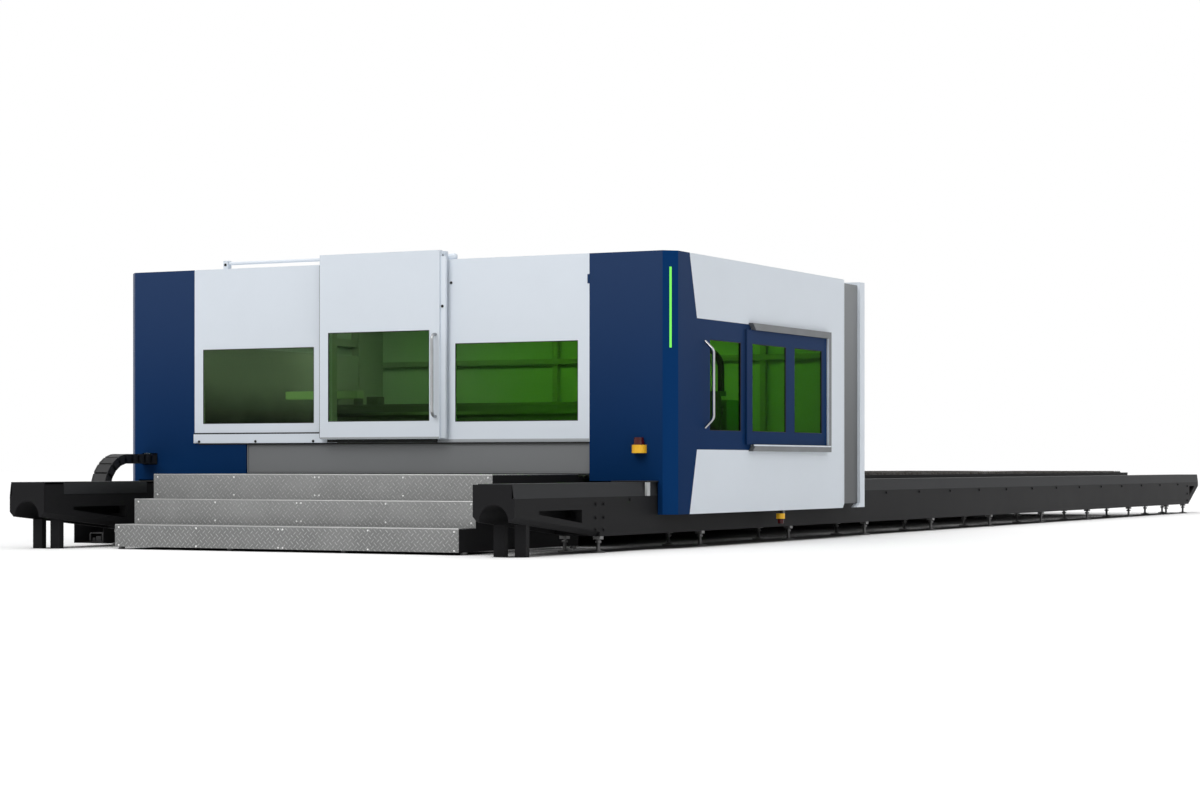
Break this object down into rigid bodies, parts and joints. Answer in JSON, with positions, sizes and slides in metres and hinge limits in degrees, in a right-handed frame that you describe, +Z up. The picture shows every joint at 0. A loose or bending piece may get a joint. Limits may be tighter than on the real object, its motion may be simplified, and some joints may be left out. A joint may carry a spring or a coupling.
{
  "type": "fiber laser cutting machine",
  "caption": "Gantry laser cutting machine with a long slat bed, a travelling closed cabin with green windows, sliding doors and front steps.",
  "frame": {"origin": "on the floor at the middle of the machine's footprint", "axes": "+Y along the bed from the stairs to the far end, +X to the operator's right seen from the stairs, +Z up"},
  "size_m": [5.884, 21.185, 2.6303],
  "materials": {
    "black_paint": "satin black paint",
    "gantry_paint": "satin charcoal paint",
    "frame_paint": "satin light grey paint",
    "dark_grey_paint": "satin dark grey paint",
    "bare_steel": "ground steel",
    "slat_steel": "raw steel with cutting marks",
    "checker_plate": "galvanised checker plate",
    "navy_paint": "gloss navy blue paint",
    "white_paint": "semi-gloss cool white paint",
    "grey_paint": "matt mid grey paint",
    "band_paint": "matt light grey paint",
    "silver_trim": "anodised silver",
    "handle_tube": "polished stainless tube",
    "laser_glass": "green laser safety glazing",
    "status_light": "lit green diffuser",
    "scanner_yellow": "yellow moulded housing",
    "scanner_dome": "dark red lens",
    "chain_plastic": "black moulded links",
    "motor_black": "black powder coat",
    "nozzle_copper": "turned copper alloy"
  },
  "bodies": {
    "bed": {"bed_beams": "black_paint", "front_brackets": "black_paint", "rear_brackets": "black_paint", "front_legs": "black_paint", "stair_stringers": "black_paint", "cross_members": "black_paint", "table_side_frames": "black_paint", "chain_trough": "black_paint", "rail_covers": "dark_grey_paint", "guide_rails": "bare_steel", "racks": "bare_steel", "levelling_feet": "bare_steel", "foot_blocks": "bare_steel", "support_slats": "slat_steel", "scrap_trays": "slat_steel", "stair_steps": "checker_plate", "stair_landing": "checker_plate", "chain_lower_run": "chain_plastic"},
    "front_door": {"front_door_panel": "white_paint", "front_door_glass": "laser_glass", "front_door_handle": "handle_tube", "front_door_hangers": "bare_steel"},
    "side_door": {"side_door_panel": "navy_paint", "side_door_glass": "laser_glass", "side_door_handle": "handle_tube"},
    "carriage": {"carriage_plate": "silver_trim", "carriage_motor": "motor_black", "carriage_chain": "chain_plastic"},
    "head": {"head_slide": "silver_trim", "cutting_head": "motor_black", "cutting_nozzle": "nozzle_copper"},
    "cabin": {"end_trucks": "black_paint", "bearing_blocks": "bare_steel", "drive_motors": "motor_black", "gantry_beam": "gantry_paint", "cross_rails": "bare_steel", "cabin_frame": "frame_paint", "front_left_corner_panel": "navy_paint", "front_right_corner_panel": "navy_paint", "front_left_panel": "white_paint", "front_right_panel": "white_paint", "door_guide_strip": "white_paint", "front_apron": "grey_paint", "front_windows": "laser_glass", "roof_panel": "white_paint", "door_rail": "bare_steel", "side_front_panels": "navy_paint", "right_upper_panel": "white_paint", "right_lower_panel": "white_paint", "pocket_panel": "navy_paint", "pocket_frame": "silver_trim", "pocket_windows": "laser_glass", "rear_band": "band_paint", "rear_portal": "white_paint", "left_side_panel": "white_paint", "rear_panel": "white_paint", "led_strip": "status_light", "scanner_bodies": "scanner_yellow", "scanner_domes": "scanner_dome", "chain_loop": "chain_plastic"}
  },
  "joints": [
    {"name": "cabin_travel", "type": "slide", "parent": "bed", "child": "cabin", "axis": [0, 1, 0], "range_m": [0, 13.5]},
    {"name": "front_door_slide", "type": "slide", "parent": "cabin", "child": "front_door", "axis": [-1, 0, 0], "range_m": [0, 1.18]},
    {"name": "side_door_slide", "type": "slide", "parent": "cabin", "child": "side_door", "axis": [0, 1, 0], "range_m": [0, 0.8]},
    {"name": "carriage_cross", "type": "slide", "parent": "cabin", "child": "carriage", "axis": [1, 0, 0], "range_m": [-3.6, 0]},
    {"name": "head_lift", "type": "slide", "parent": "carriage", "child": "head", "axis": [0, 0, 1], "range_m": [0, 0.2]}
  ]
}
